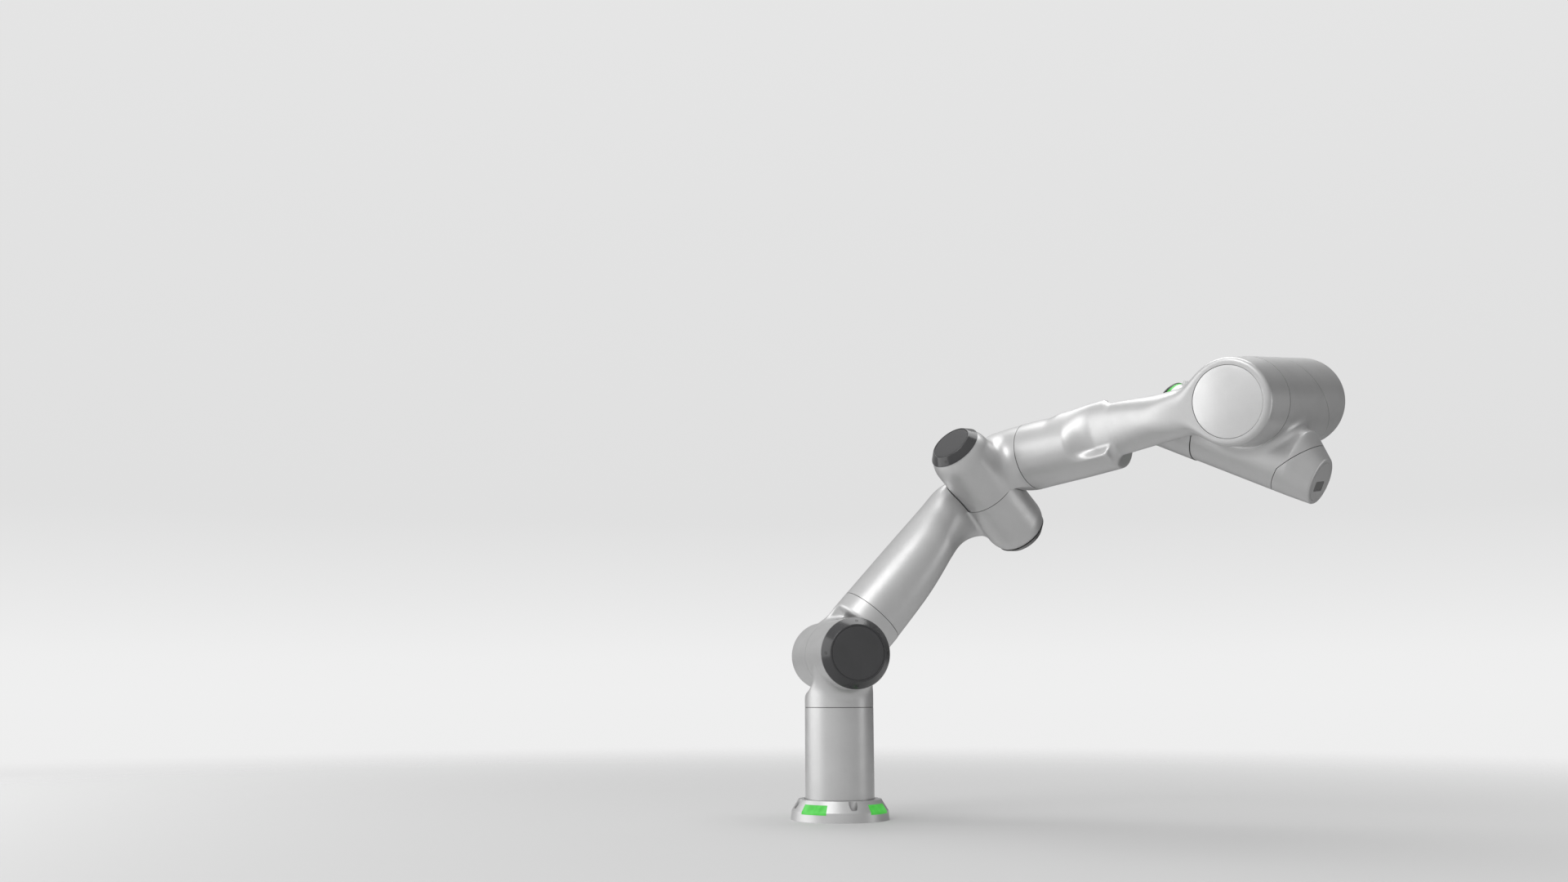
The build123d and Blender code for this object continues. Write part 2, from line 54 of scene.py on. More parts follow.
SHOULDER, ELBOW, WRIST, HAND = joint_at[1], joint_at[3], joint_at[5], joint_at[6]
UP = np.array([0.0, 0.0, 1.0])
near2, along3, near4, along5, near6, along7 = (
    -joint_axis[1], joint_axis[2], -joint_axis[3], joint_axis[4], joint_axis[5], joint_axis[6])


def link_frame(origin, x_axis, z_axis):
    """4 by 4 matrix from a link's millimetres to the row's metres."""
    m = np.eye(4)
    m[:3, 0], m[:3, 1], m[:3, 2] = x_axis, np.cross(z_axis, x_axis), z_axis
    m[:3, :3] /= 1000
    m[:3, 3] = origin / 1000
    return m


# how far the seam of each roll joint lies from its link's origin, joint 1's from the ground
J1_SEAM, J3_SEAM, J5_SEAM, J7_SEAM = 193.3, 94.7, 82.7, 75.0
UPPER_ARM = float(np.dot(ELBOW - SHOULDER, along3))
FOREARM = float(np.dot(WRIST - joint_at[4], along5)) + J5_SEAM
FRAMES = {
    "base": link_frame(UP * 0, np.array([1.0, 0, 0]), UP),
    "link1": link_frame(SHOULDER, near2, UP),
    "link2": link_frame(SHOULDER, near2, along3),
    "link3": link_frame(ELBOW, near4, along3),
    "link4": link_frame(ELBOW, near4, along5),
    "link5": link_frame(WRIST, near6, along5),
    "link6": link_frame(WRIST, near6, along7),
    "link7": link_frame(HAND - along7 * J7_SEAM, near6, along7),
}
BODY = {"base": "base", "link1": "link1_shoulder", "link2": "link2_shoulder", "link3": "link3_upper_arm",
        "link4": "link4_elbow", "link5": "link5_forearm", "link6": "link6_wrist",
        "link7": "link7_tool_flange"}

# ---- distance functions: p is an array of points, and below zero is inside --------------------


def smooth_min(a, b, k):
    """Lower of two distances, blended where they differ by less than k."""
    h = np.clip(0.5 + 0.5 * (b - a) / k, 0, 1)
    return b + (a - b) * h - k * h * (1 - h)


def smooth_max(a, b, k):
    return -smooth_min(-a, -b, k)


def rod_x(p, r):
    """Distance from a rod of radius r about the X axis."""
    return np.hypot(p[:, 1], p[:, 2]) - r


def rod_z(p, r, x=0.0, y=0.0):
    """Distance from a rod of radius r along Z through x, y."""
    return np.hypot(p[:, 0] - x, p[:, 1] - y) - r


def line_side(u, v, a, b):
    """Distance from the line a to b in the u, v plane, above zero on its left."""
    du, dv = b[0] - a[0], b[1] - a[1]
    return ((v - a[1]) * du - (u - a[0]) * dv) / math.hypot(du, dv)


def curve(t, knots, values):
    """Smooth curve through the values, with no overshoot between them."""
    knots, values = np.array(knots, float), np.array(values, float)
    step = np.diff(values) / np.diff(knots)
    slope = np.concatenate([[step[0]], (step[1:] + step[:-1]) / 2, [step[-1]]])
    flat = np.concatenate([[False], step[1:] * step[:-1] <= 0, [False]])
    slope[flat] = 0
    i = np.clip(np.searchsorted(knots, t) - 1, 0, len(knots) - 2)
    width = knots[i + 1] - knots[i]
    u = np.clip((t - knots[i]) / width, 0, 1)
    return (values[i] * (1 + 2 * u) * (1 - u) ** 2 + values[i + 1] * u * u * (3 - 2 * u)
            + width * slope[i] * u * (1 - u) ** 2 - width * slope[i + 1] * u * u * (1 - u))


def ease(t, a, b):
    """Rises smoothly from 0 at a to 1 at b."""
    u = np.clip((t - a) / (b - a), 0, 1)
    return u * u * (3 - 2 * u)


def flat_oval(p, cx, cy, ax, ay):
    """Distance from an ellipse in the x, y plane, whose centre and half axes may vary by point."""
    return (np.hypot((p[:, 0] - cx) / ax, (p[:, 1] - cy) / ay) - 1) * np.minimum(ax, ay)


def cut_near(p, r):
    """Above zero in the space of the neighbour's half cylinder, which lies at x above zero."""
    return np.minimum(-rod_x(p, r), p[:, 0] + HALF_GAP)


def cut_far(p, r):
    """Above zero in the space of the neighbour's half cylinder, which lies at x below zero."""
    return np.minimum(-rod_x(p, r), HALF_GAP - p[:, 0])


# ---- dual contouring: a distance function to a mesh with crisp creases -------------------------
SEARCH_STEPS = 7      # halvings of an edge in the search for where the surface crosses it
SEARCH_MARGIN = 0.05  # least share of the edge that each of them takes off
HOLD = 0.04           # how strongly a vertex is held at the middle of its cell's crossings


def gradient(f, p, e=0.02):
    """Unit normals of the distance function at the points."""
    g = np.stack([(f(p + d) - f(p - d)) / (2 * e) for d in np.eye(3) * e], 1)
    return g / np.maximum(np.linalg.norm(g, axis=1, keepdims=True), 1e-9)


def contour(f, low, high, step):
    """Vertices and quads of the surface where f is zero."""
    low = np.array(low, float)
    count = np.ceil((np.array(high, float) - low) / step).astype(int) + 1
    lines = [low[a] + step * np.arange(count[a]) for a in range(3)]
    points = np.stack(np.meshgrid(*lines, indexing="ij"), -1).reshape(-1, 3)
    value = f(points).reshape(count)
    cells = tuple(count - 1)
    total = np.zeros(cells)
    centre, square, pull = np.zeros(cells + (3,)), np.zeros(cells + (3, 3)), np.zeros(cells + (3,))
    crossings = []
    for a in range(3):
        b, c = (a + 1) % 3, (a + 2) % 3
        lo, hi = [slice(None)] * 3, [slice(None)] * 3
        lo[a], hi[a] = slice(0, -1), slice(1, None)
        v0, v1 = value[tuple(lo)], value[tuple(hi)]
        at = np.argwhere((v0 < 0) != (v1 < 0))
        w0, w1 = v0[tuple(at.T)], v1[tuple(at.T)]
        t0, t1 = np.zeros(len(at)), np.ones(len(at))
        inner = w0 < 0
        for _ in range(SEARCH_STEPS):
            margin = SEARCH_MARGIN * (t1 - t0)
            t = np.clip(t0 + (t1 - t0) * w0 / (w0 - w1), t0 + margin, t1 - margin)
            where = low + step * at
            where[:, a] += step * t
            w = f(where)
            left = (w < 0) == inner
            t0, w0 = np.where(left, t, t0), np.where(left, w, w0)
            t1, w1 = np.where(left, t1, t), np.where(left, w1, w)
        normal = gradient(f, where)
        for db in (0, 1):
            for dc in (0, 1):
                cell = at.copy()
                cell[:, b] -= db
                cell[:, c] -= dc
                key = tuple(cell.T)
                np.add.at(total, key, 1)
                np.add.at(centre, key, where)
                np.add.at(square, key, normal[:, :, None] * normal[:, None, :])
                np.add.at(pull, key, normal * (normal * where).sum(1, keepdims=True))
        crossings.append((at, inner, b, c))
    used = total > 0
    middle = centre[used] / total[used][:, None]
    matrix = square[used] + HOLD * total[used][:, None, None] * np.eye(3)
    target = pull[used] - np.einsum("nij,nj->ni", square[used], middle)
    shift = np.linalg.solve(matrix, target[..., None])[..., 0]
    vertices = middle + np.clip(shift, -step, step)
    number = np.full(cells, -1)
    number[used] = np.arange(used.sum())
    faces = []
    for at, inner, b, c in crossings:
        ring = []
        for db, dc in ((0, 0), (1, 0), (1, 1), (0, 1)):
            cell = at.copy()
            cell[:, b] -= db
            cell[:, c] -= dc
            ring.append(number[tuple(cell.T)])
        quad = np.stack(ring, 1)
        quad[~inner] = quad[~inner][:, ::-1]
        faces.append(quad)
    return vertices, np.concatenate(faces)


# ---- meshes -----------------------------------------------------------------------------------
CELL = 2.2
LATHE_SIDES = 144


def make_mesh(name, link, vertices, faces, material, sharp=32):
    """Blender object from vertices in a link's frame."""
    m = FRAMES[link]
    placed = np.asarray(vertices) @ m[:3, :3].T + m[:3, 3]
    mesh = bpy.data.meshes.new(name)
    mesh.from_pydata(placed.tolist(), [], [list(map(int, f)) for f in faces])
    mesh.validate()
    mesh.shade_smooth()
    mesh.set_sharp_from_angle(angle=math.radians(sharp))
    mesh.materials.append(material)
    piece = bpy.data.objects.new(name, mesh)
    bpy.context.scene.collection.objects.link(piece)
    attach(piece, BODY[link])
    return piece


def cast(name, link, f, low, high, stands_for):
    """Shell of blasted metal inside the box low to high, in place of one CAD housing."""
    vertices, faces = contour(f, low, high, CELL)
    piece = make_mesh(name, link, vertices, faces, METAL)
    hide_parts(stands_for)


def turned(origin, axis, profile, sides):
    """Vertices and faces of a turned shape; profile is (height, radius) pairs."""
    z = np.array(axis, float)
    x = np.cross(z, [0.3, 0.5, 0.8])
    x /= np.linalg.norm(x)
    y = np.cross(z, x)
    turn = np.linspace(0, 2 * math.pi, sides, endpoint=False)
    around = np.cos(turn)[:, None] * x + np.sin(turn)[:, None] * y
    vertices = np.concatenate([np.array(origin, float) + h * z + r * around for h, r in profile])
    faces = []
    rows = len(profile)
    for i in range(rows - 1):
        for j in range(sides):
            k = (j + 1) % sides
            faces.append([i * sides + j, i * sides + k, (i + 1) * sides + k, (i + 1) * sides + j])
    faces.append([(rows - 1) * sides + j for j in range(sides)])
    faces.append(list(reversed(range(sides))))
    return vertices, faces


def lathe(name, link, origin, axis, profile, material, stands_for=()):
    """Turned piece about an axis of the link's frame."""
    vertices, faces = turned(origin, axis, profile, LATHE_SIDES)
    piece = make_mesh(name, link, vertices, faces, material)
    if stands_for:
        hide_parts(*stands_for)


def rounded(corners, radius, steps=6):
    """Profile through the corners, with each inner corner rounded off."""
    out = [corners[0]]
    for a, b, c in zip(corners, corners[1:], corners[2:]):
        a, b, c = (np.array(v, float) for v in (a, b, c))
        back, on = (a - b) / np.linalg.norm(a - b), (c - b) / np.linalg.norm(c - b)
        reach = min(radius, 0.45 * np.linalg.norm(a - b), 0.45 * np.linalg.norm(c - b))
        start, end = b + back * reach, b + on * reach
        for t in np.linspace(0, 1, steps):
            out.append(tuple((1 - t) ** 2 * start + 2 * t * (1 - t) * b + t * t * end))
    out.append(corners[-1])
    return out


# ---- materials ----------------------------------------------------------------------------------


class Nodes:
    """Short way to build a node tree for one material."""

    def __init__(self, name):
        self.material = bpy.data.materials.new(name)
        self.material.use_nodes = True
        self.tree = self.material.node_tree
        self.shader = self.tree.nodes["Principled BSDF"]

    def add(self, kind, **values):
        node = self.tree.nodes.new(kind)
        for key, value in values.items():
            if key in node.inputs.keys():
                node.inputs[key].default_value = value
            else:
                setattr(node, key, value)
        return node

    def link(self, a, output, b, socket):
        self.tree.links.new(a.outputs[output], b.inputs[socket])
        return b

    def set(self, **values):
        for key, value in values.items():
            self.shader.inputs[key.replace("_", " ")].default_value = value
        return self


def noise(n, scale, detail=2.0, rough=0.5):
    """Noise texture in the object's own coordinates."""
    coord = n.add("ShaderNodeTexCoord")
    texture = n.add("ShaderNodeTexNoise", Scale=scale, Detail=detail, Roughness=rough)
    return n.link(coord, "Object", texture, "Vector")


def ramp(n, source, output, stops):
    """Colour ramp on an output; each stop is a place and a grey or a colour."""
    r = n.link(source, output, n.add("ShaderNodeValToRGB"), "Fac")
    elements = r.color_ramp.elements
    for i, (at, grey) in enumerate(stops):
        e = elements[i] if i < 2 else elements.new(at)
        e.position = at
        e.color = (*grey, 1) if isinstance(grey, tuple) else (grey, grey, grey, 1)
    return r


def add_bump(n, sources, strength, distance):
    """Bump from several height textures, one after another."""
    last = None
    for (node, output), s, d in zip(sources, strength, distance):
        bump = n.add("ShaderNodeBump", Strength=s, Distance=d)
        n.link(node, output, bump, "Height")
        if last:
            n.link(last, "Normal", bump, "Normal")
        last = bump
    n.link(last, "Normal", n.shader, "Normal")


def blasted_metal(name, tone=0.6, metallic=0.85, roughness=0.4):
    """Bead-blasted aluminium: fine speckle, faint mottling and a slightly uneven sheen."""
    n = Nodes(name).set(Metallic=metallic, IOR=1.5)
    fine = noise(n, 2600, 3, 0.7)
    mottle = noise(n, 22, 4, 0.55)
    cloud = ramp(n, mottle, "Fac", [(0.3, tone * 0.965), (0.7, tone * 1.02)])
    speck = ramp(n, fine, "Fac", [(0.32, 0.93), (0.6, 1.0)])
    mixed = n.add("ShaderNodeMix", data_type="RGBA", blend_type="MULTIPLY")
    mixed.inputs["Factor"].default_value = 1.0
    n.tree.links.new(cloud.outputs["Color"], mixed.inputs[6])
    n.tree.links.new(speck.outputs["Color"], mixed.inputs[7])
    n.tree.links.new(mixed.outputs[2], n.shader.inputs["Base Color"])
    sheen = ramp(n, noise(n, 60, 3, 0.6), "Fac", [(0.3, roughness - 0.025), (0.7, roughness + 0.03)])
    n.link(sheen, "Color", n.shader, "Roughness")
    add_bump(n, [(fine, "Fac"), (mottle, "Fac")], [0.10, 0.04], [0.0002, 0.0012])
    return n.material


def moulded(name, colour, roughness, bump=0.12, scale=1500, coat=0.0, spread=0.04):
    """Moulded plastic with a fine spark-eroded grain."""
    n = Nodes(name).set(Metallic=0.0, IOR=1.48, Coat_Weight=coat, Coat_Roughness=0.12)
    grain = noise(n, scale, 2, 0.5)
    blotch = noise(n, 35, 3, 0.5)
    dark = tuple(c * 0.88 for c in colour)
    tone = ramp(n, blotch, "Fac", [(0.3, dark), (0.7, tuple(colour))])
    n.link(tone, "Color", n.shader, "Base Color")
    rough = ramp(n, blotch, "Fac", [(0.35, roughness - spread), (0.65, roughness + spread)])
    n.link(rough, "Color", n.shader, "Roughness")
    add_bump(n, [(grain, "Fac")], [bump], [0.0002])
    return n.material


def glowing(name, colour, strength):
    """Translucent diffuser lit from behind, a little uneven."""
    n = Nodes(name).set(Metallic=0.0, Roughness=0.35)
    cells = noise(n, 90, 1, 0.4)
    bright = tuple(min(1.0, c * 1.15 + 0.02) for c in colour)
    tone = ramp(n, cells, "Fac", [(0.3, tuple(colour)), (0.7, bright)])
    n.link(tone, "Color", n.shader, "Base Color")
    n.link(tone, "Color", n.shader, "Emission Color")
    n.shader.inputs["Emission Strength"].default_value = strength
    add_bump(n, [(noise(n, 700, 1, 0.5), "Fac")], [0.05], [0.0002])
    return n.material


def ground_steel(name, tone, roughness):
    """Ground steel with fine, uneven marks."""
    n = Nodes(name).set(Metallic=1.0)
    scratches = noise(n, 420, 4, 0.7)
    colour = ramp(n, scratches, "Fac", [(0.3, tone * 0.85), (0.7, tone)])
    n.link(colour, "Color", n.shader, "Base Color")
    rough = ramp(n, scratches, "Fac", [(0.3, roughness), (0.7, roughness + 0.12)])
    n.link(rough, "Color", n.shader, "Roughness")
    add_bump(n, [(scratches, "Fac")], [0.08], [0.0002])
    return n.material


METAL = blasted_metal("blasted_aluminium")
COVER = blasted_metal("pale_cover", 0.72, 0.5, 0.3)
CAP_FACE = moulded("cap_face", (0.052, 0.052, 0.054), 0.5, 0.18)
CAP_RIM = moulded("cap_rim", (0.028, 0.028, 0.03), 0.22, 0.06, coat=0.4)
BLACK = moulded("black_plate", (0.02, 0.02, 0.021), 0.38)
WINDOW = moulded("dark_window", (0.13, 0.13, 0.13), 0.3, 0.03)
RUBBER = moulded("seal_rubber", (0.012, 0.012, 0.012), 0.6, 0.2)
GREEN = glowing("status_light", (0.03, 0.3, 0.026), 0.85)
SCREW = ground_steel("black_oxide", 0.06, 0.4)
STEEL = ground_steel("steel", 0.55, 0.28)
CASING = moulded("drive_casing", (0.2, 0.2, 0.21), 0.4)

# ---- link shells ----------------------------------------------------------------------------------
TUBE_R, SHOULDER_R, ELBOW_R, RING_R, WRIST_R, FLANGE_R = 61.0, 62.0, 55.7, 75.0, 77.6, 58.7
SHOULDER_FRONT, SHOULDER_BACK, ELBOW_END = 110.0, 112.0, 113.0
SHOULDER_CLEAR, ELBOW_CLEAR = 1.2, 1.5
FOREARM_TUBE_R, ELBOW_OFFSET = 62.1, 63.8
ELBOW_BEVEL = ((100, ELBOW_R), (ELBOW_END, ELBOW_R - 8))
RING_FRONT, DOME_SEAT = 72.2, 66
DOME_R, DOME_EDGE, DOME_RISE = 59.9, 72.0, 5.0
HALF_GAP = 0.5
BEND_X, BEND_Z, BEND_R = 7.5, -137.0, 168.0
BEND_TURN = math.radians(58)
BEND_KNOTS = (-330, -228, -197, -163, -137, -107.7, -78.4, -60.8, -2.1, 12.5, 40)


def tube_end(p, side):
    """Below zero where a shoulder tube may be, clear of the other half's tube as that turns."""
    x, z = p[:, 0] * side, p[:, 2] * side
    return smooth_min(z + SHOULDER_R, line_side(x, z, (0, -SHOULDER_R), (29, -40)), 8)


def link1(p):
    x, z = p[:, 0], p[:, 2]
    tube = np.maximum(smooth_max(rod_z(p, TUBE_R), tube_end(p, 1), 16), z)
    half = np.maximum(rod_x(p, SHOULDER_R), HALF_GAP - x)
    body = smooth_min(tube, half, 22)
    body = np.maximum(body, cut_far(p, SHOULDER_R + SHOULDER_CLEAR))
    body = np.maximum(body, J1_SEAM - SHOULDER[2] + HALF_GAP - z)
    return np.maximum(body, x - SHOULDER_FRONT)


def link2(p):
    x, z = p[:, 0], p[:, 2]
    tube = np.maximum(smooth_max(rod_z(p, TUBE_R), tube_end(p, -1), 8), -z)
    half = np.maximum(smooth_max(rod_x(p, SHOULDER_R), -x - SHOULDER_BACK, 14), x + HALF_GAP)
    body = smooth_min(tube, half, 22)
    body = np.maximum(body, cut_near(p, SHOULDER_R + SHOULDER_CLEAR))
    return np.maximum(body, z - J3_SEAM + HALF_GAP)


def elbow_cylinder(p, side):
    """Half of the elbow's cross cylinder with its rounded bevel."""
    x = p[:, 0] * side
    body = smooth_max(rod_x(p, ELBOW_R), line_side(x, rod_x(p, 0), *ELBOW_BEVEL), 8)
    return np.maximum(np.maximum(body, x - ELBOW_END), HALF_GAP - x)


def bent_tube(p):
    """Upper arm's tube: straight up to BEND_Z, then round an arc to the elbow's far half."""
    x, y, z = p.T
    turn = np.arctan2(np.maximum(z - BEND_Z, 0), x - BEND_X + BEND_R)
    path = np.where(z < BEND_Z, z, BEND_Z + BEND_R * turn)
    side = np.where(z < BEND_Z, x - BEND_X, np.hypot(x - BEND_X + BEND_R, z - BEND_Z) - BEND_R)
    # reach of the tube's outline to each side, along its path
    near = curve(path, BEND_KNOTS, (53.5, 52.5, 52, 51.5, 51, 54, 64.5, 66.8, 63, 55, 52))
    far = curve(path, BEND_KNOTS, (68.5, 62.5, 59, 53.5, 50, 50, 50, 50, 50, 50, 50))
    front = curve(path, BEND_KNOTS, (30.5, 29, 27, 24, 20, 11, 2, -3, -16, -18, -20))
    rear = curve(path, BEND_KNOTS, (-91, -90, -89, -87, -85, -82, -78, -75, -68, -66, -64))
    rise, high = (front + rear) / 2, (front - rear) / 2
    centre, wide = (near - far) / 2, (near + far) / 2
    tube = flat_oval(np.stack([side, y], 1), centre, rise, wide, high)
    return smooth_max(tube, path - BEND_Z - BEND_R * BEND_TURN, 24)


def link3(p):
    x, z = p[:, 0], p[:, 2]
    body = smooth_min(bent_tube(p), elbow_cylinder(p, -1), 9)
    body = np.maximum(body, cut_near(p, ELBOW_R + ELBOW_CLEAR))
    body = np.maximum(body, -ELBOW_END - x)
    return np.maximum(body, J3_SEAM - UPPER_ARM + HALF_GAP - z)


def link4(p):
    x, z = p[:, 0], p[:, 2]
    tube = rod_z(p, FOREARM_TUBE_R, 0, -ELBOW_OFFSET)
    tube = smooth_max(tube, line_side(x, z, (28, 4), (-62, 60)), 28)
    tube = smooth_max(tube, -z - 25, 20)
    body = smooth_min(tube, elbow_cylinder(p, 1), 32)
    body = np.maximum(body, cut_far(p, ELBOW_R + ELBOW_CLEAR))
    body = np.maximum(body, x - ELBOW_END)
    return np.maximum(body, z - J5_SEAM + HALF_GAP)


def link5(p):
    """Round root at the roll joint, a neck that runs into the wrist's ring, and the ring's recess."""
    x, y, z = p[:, 0], p[:, 1], p[:, 2]
    start = J5_SEAM - FOREARM
    r = 62 - 2.5 * ease(z, start, -300)
    # the root steps in on the near side, above its lower part
    step = np.where(x > 0, 27 * ease(z, -322, -266) * (1 - ease(y, 8, 30)), 0)
    root = smooth_max(flat_oval(p, 0, -9.6 + 4 * ease(z, start, -300), r - step, r), z + 246, 6)
    front, rear = 35 + 45 * ease(z, -292, -75), -8 + 12 * ease(z, -290, -150)
    top, bottom = -62 + 15 * ease(z, -262, -100), 24 + 10 * ease(z, -300, -220)
    neck = flat_oval(p, (front + rear) / 2, (top + bottom) / 2, (front - rear) / 2, (bottom - top) / 2)
    neck = smooth_max(smooth_max(neck, -z - 345, 20), z - 5, 20)
    ring = np.maximum(rod_x(p, RING_R - 0.04 * np.clip(x, 0, 70)), HALF_GAP - x)
    body = smooth_min(smooth_min(neck, root, 20), ring, 28)
    body = smooth_max(body, x - RING_FRONT, 8)
    body = np.maximum(body, -np.maximum(rod_x(p, DOME_R + 0.4), DOME_SEAT - x))
    body = np.maximum(body, cut_far(p, RING_R + 1.5))
    return np.maximum(body, start + HALF_GAP - z)


HAND_X, HAND_Y = -61.4, -75.3
TAPER_TOP, TAPER_LENGTH, TAPER_IN = -97, 41, 18.5
HEAD_DROP, HEAD_END = 17, -138
HEAD_SEAM = ((-165.3, -65), (-87.3, -83), (-23.3, -128))
HEAD_SEAM_HALF_GAP, REAR_SEAM_HALF_GAP = 0.45, 0.3
PANEL_RX, PANEL_RY, PANEL_TOP = 31.2, 33.2, -135.0
BARREL_END, BARREL_GROWTH = -235, 2.1 / 235
REAR_SPLIT = ((-238, -77), (-104, 75))


def hand_tube(p):
    """Tube that carries joint 7, with a tapered end that leans towards its low side."""
    z = p[:, 2]
    taper = np.clip((TAPER_TOP - z) / TAPER_LENGTH, 0, 1.3)
    r = np.hypot(p[:, 0] - HAND_X, p[:, 1] - HAND_Y + HEAD_DROP * taper)
    cone = (r - FLANGE_R + TAPER_IN * taper) * 0.92
    tube = smooth_max(rod_z(p, FLANGE_R, HAND_X, HAND_Y), cone, 5)
    return smooth_max(tube, HEAD_END - z, 2.5)


def head_side(p):
    """Above zero on the housing's side of the head cover's kinked seam."""
    y, z = p[:, 1], p[:, 2]
    low, kink, high = HEAD_SEAM
    return np.maximum(line_side(y, z, low, kink), line_side(y, z, kink, high))


def rear_side(p):
    """Above zero behind the slanted split of the rear cover."""
    return line_side(p[:, 0], p[:, 1], *REAR_SPLIT)


def barrel(p):
    """Wrist barrel, slightly wider at its far end."""
    x = p[:, 0]
    body = rod_x(p, RING_R + 0.3 - x * BARREL_GROWTH)
    body = smooth_max(body, BARREL_END - x, 5)
    return np.maximum(body, x + HALF_GAP)


def link6(p):
    tube = np.maximum(hand_tube(p), HEAD_SEAM_HALF_GAP - head_side(p))
    body = smooth_min(barrel(p), tube, 18)
    body = np.maximum(body, rear_side(p) + REAR_SEAM_HALF_GAP)
    return np.maximum(body, p[:, 2] - J7_SEAM + HALF_GAP)


def rear_cover(p):
    return np.maximum(barrel(p), REAR_SEAM_HALF_GAP - rear_side(p))


def head_cover(p):
    """End of the hand tube, with the recess for its oval panel, clear of the barrel."""
    body = np.maximum(hand_tube(p), head_side(p) + HEAD_SEAM_HALF_GAP)
    oval = flat_oval(p, HAND_X, HAND_Y - HEAD_DROP, PANEL_RX, PANEL_RY)
    body = np.maximum(body, -np.maximum(oval, p[:, 2] - PANEL_TOP))
    return np.maximum(body, -rod_x(p, WRIST_R + 0.8))


cast("shoulder_lower_shell", "link1", link1, (-70, -70, -100), (118, 70, 70), "link1_shoulder_housing")
cast("shoulder_upper_shell", "link2", link2, (-120, -70, -70), (70, 70, 102), "link2_shoulder_housing")
cast("upper_arm_shell", "link3", link3, (-120, -98, -328), (72, 68, 66), "link3_upper_arm_housing")
cast("elbow_shell", "link4", link4, (-70, -134, -66), (120, 64, 90), "link4_elbow_housing")
cast("forearm_shell", "link5", link5, (-72, -84, -428), (82, 84, 84), "link5_forearm_housing")
cast("wrist_shell", "link6", link6, (-250, -144, -148), (8, 88, 88), "link6_wrist_housing")
cast("wrist_back_shell", "link6", rear_cover, (-245, -88, -88), (-80, 88, 88), "wrist_rear_cover")
cast("head_shell", "link6", head_cover, (-130, -144, -148), (8, 0, -50), "head_cover")

# ---- round caps and the wrist's cover ---------------------------------------------------------------


def cap(node, link, side, x, r, face_x, face_r):
    """Dark cone with a matt disc let into its face, and four socket screws on the cone."""
    rim = rounded([(x - 6, r - 9), (x + 0.25, r - 9), (x + 0.25, r - 0.2), (face_x, face_r),
                   (face_x, face_r - 2.4), (face_x - 0.9, face_r - 2.7)], 1.3)
    axis = (side, 0, 0)
    lathe(node + "_rim", link, (0, 0, 0), axis, rim, CAP_RIM, [node])
    face = rounded([(face_x - 2.5, face_r - 3.1), (face_x - 0.15, face_r - 3.1), (face_x, face_r - 9)], 1.0)
    lathe(node + "_face", link, (0, 0, 0), axis, face, CAP_FACE)
    middle_x, middle_r = (x + face_x) / 2, (r + face_r) / 2
    out = np.array([r - face_r, 0, face_x - x]) / math.hypot(r - face_r, face_x - x)
    socket = np.array([(-2.0, 2.5), (0.12, 2.5), (0.12, 1.75), (-1.6, 1.5)])
    vertices, faces = [], []
    for quarter in range(4):
        a = math.radians(90 * quarter)
        swing = np.array([[1, 0, 0], [0, math.cos(a), math.sin(a)], [0, -math.sin(a), math.cos(a)]])
        spin = np.diag([side, 1, 1])
        points, polygons = turned(np.array([middle_x, 0, middle_r]), out, socket, 20)
        faces += [[i + len(points) * quarter for i in corners] for corners in polygons]
        vertices.append(points @ swing.T @ spin)
    screws = make_mesh(node + "_sockets", link, np.concatenate(vertices), faces, SCREW)
    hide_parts(node + "_screws")


cap("shoulder_front_cap", "link1", 1, SHOULDER_FRONT, SHOULDER_R, 126.6, 48.8)
cap("shoulder_rear_cap", "link2", -1, SHOULDER_BACK, 53.8, 120, 42)
cap("elbow_rear_cap", "link3", -1, ELBOW_END, 50, 126.5, 38.2)
cap("elbow_front_cap", "link4", 1, ELBOW_END, 50, 126.5, 38.2)

dome = [(DOME_SEAT, 50), (DOME_SEAT, DOME_R), (DOME_EDGE - 0.7, DOME_R), (DOME_EDGE, DOME_R - 0.7)]
dome += [(DOME_EDGE + DOME_RISE * (1 - (r / DOME_R) ** 2), r) for r in np.linspace(DOME_R - 4, 2, 16)]
lathe("wrist_dome", "link5", (0, 0, 0), (1, 0, 0), dome, COVER, ["wrist_front_cover"])

# ---- CAD nodes that stay, with their materials -----------------------------------------------------
NODE_MATERIALS = {
    "base_housing": METAL, "base_bottom_plate": STEEL, "base_light_windows": GREEN,
    "base_connector_panel": BLACK, "base_connectors": BLACK,
    "head_panel": METAL, "head_window": WINDOW,
    "tool_flange_body": METAL, "tool_light_ring": GREEN, "tool_flange_plate": BLACK,
    "tool_connector": METAL, "tool_connector_socket": BLACK,
}
for name, node in frame["nodes"].items():
    if name in NODE_MATERIALS:
        finish = NODE_MATERIALS[name]
    elif name.endswith("screws"):
        finish = SCREW
    elif name.endswith("seal"):
        finish = RUBBER
    elif name.endswith("drive_unit"):
        finish = CASING
    else:
        finish = STEEL
    node.data.materials.clear()
    node.data.materials.append(finish)

# ---- floor, light, camera ----------------------------------------------------------------------------
FLOOR_RADIUS, FADE_FROM, FADE_TO = 4.0, 0.3, 3.6


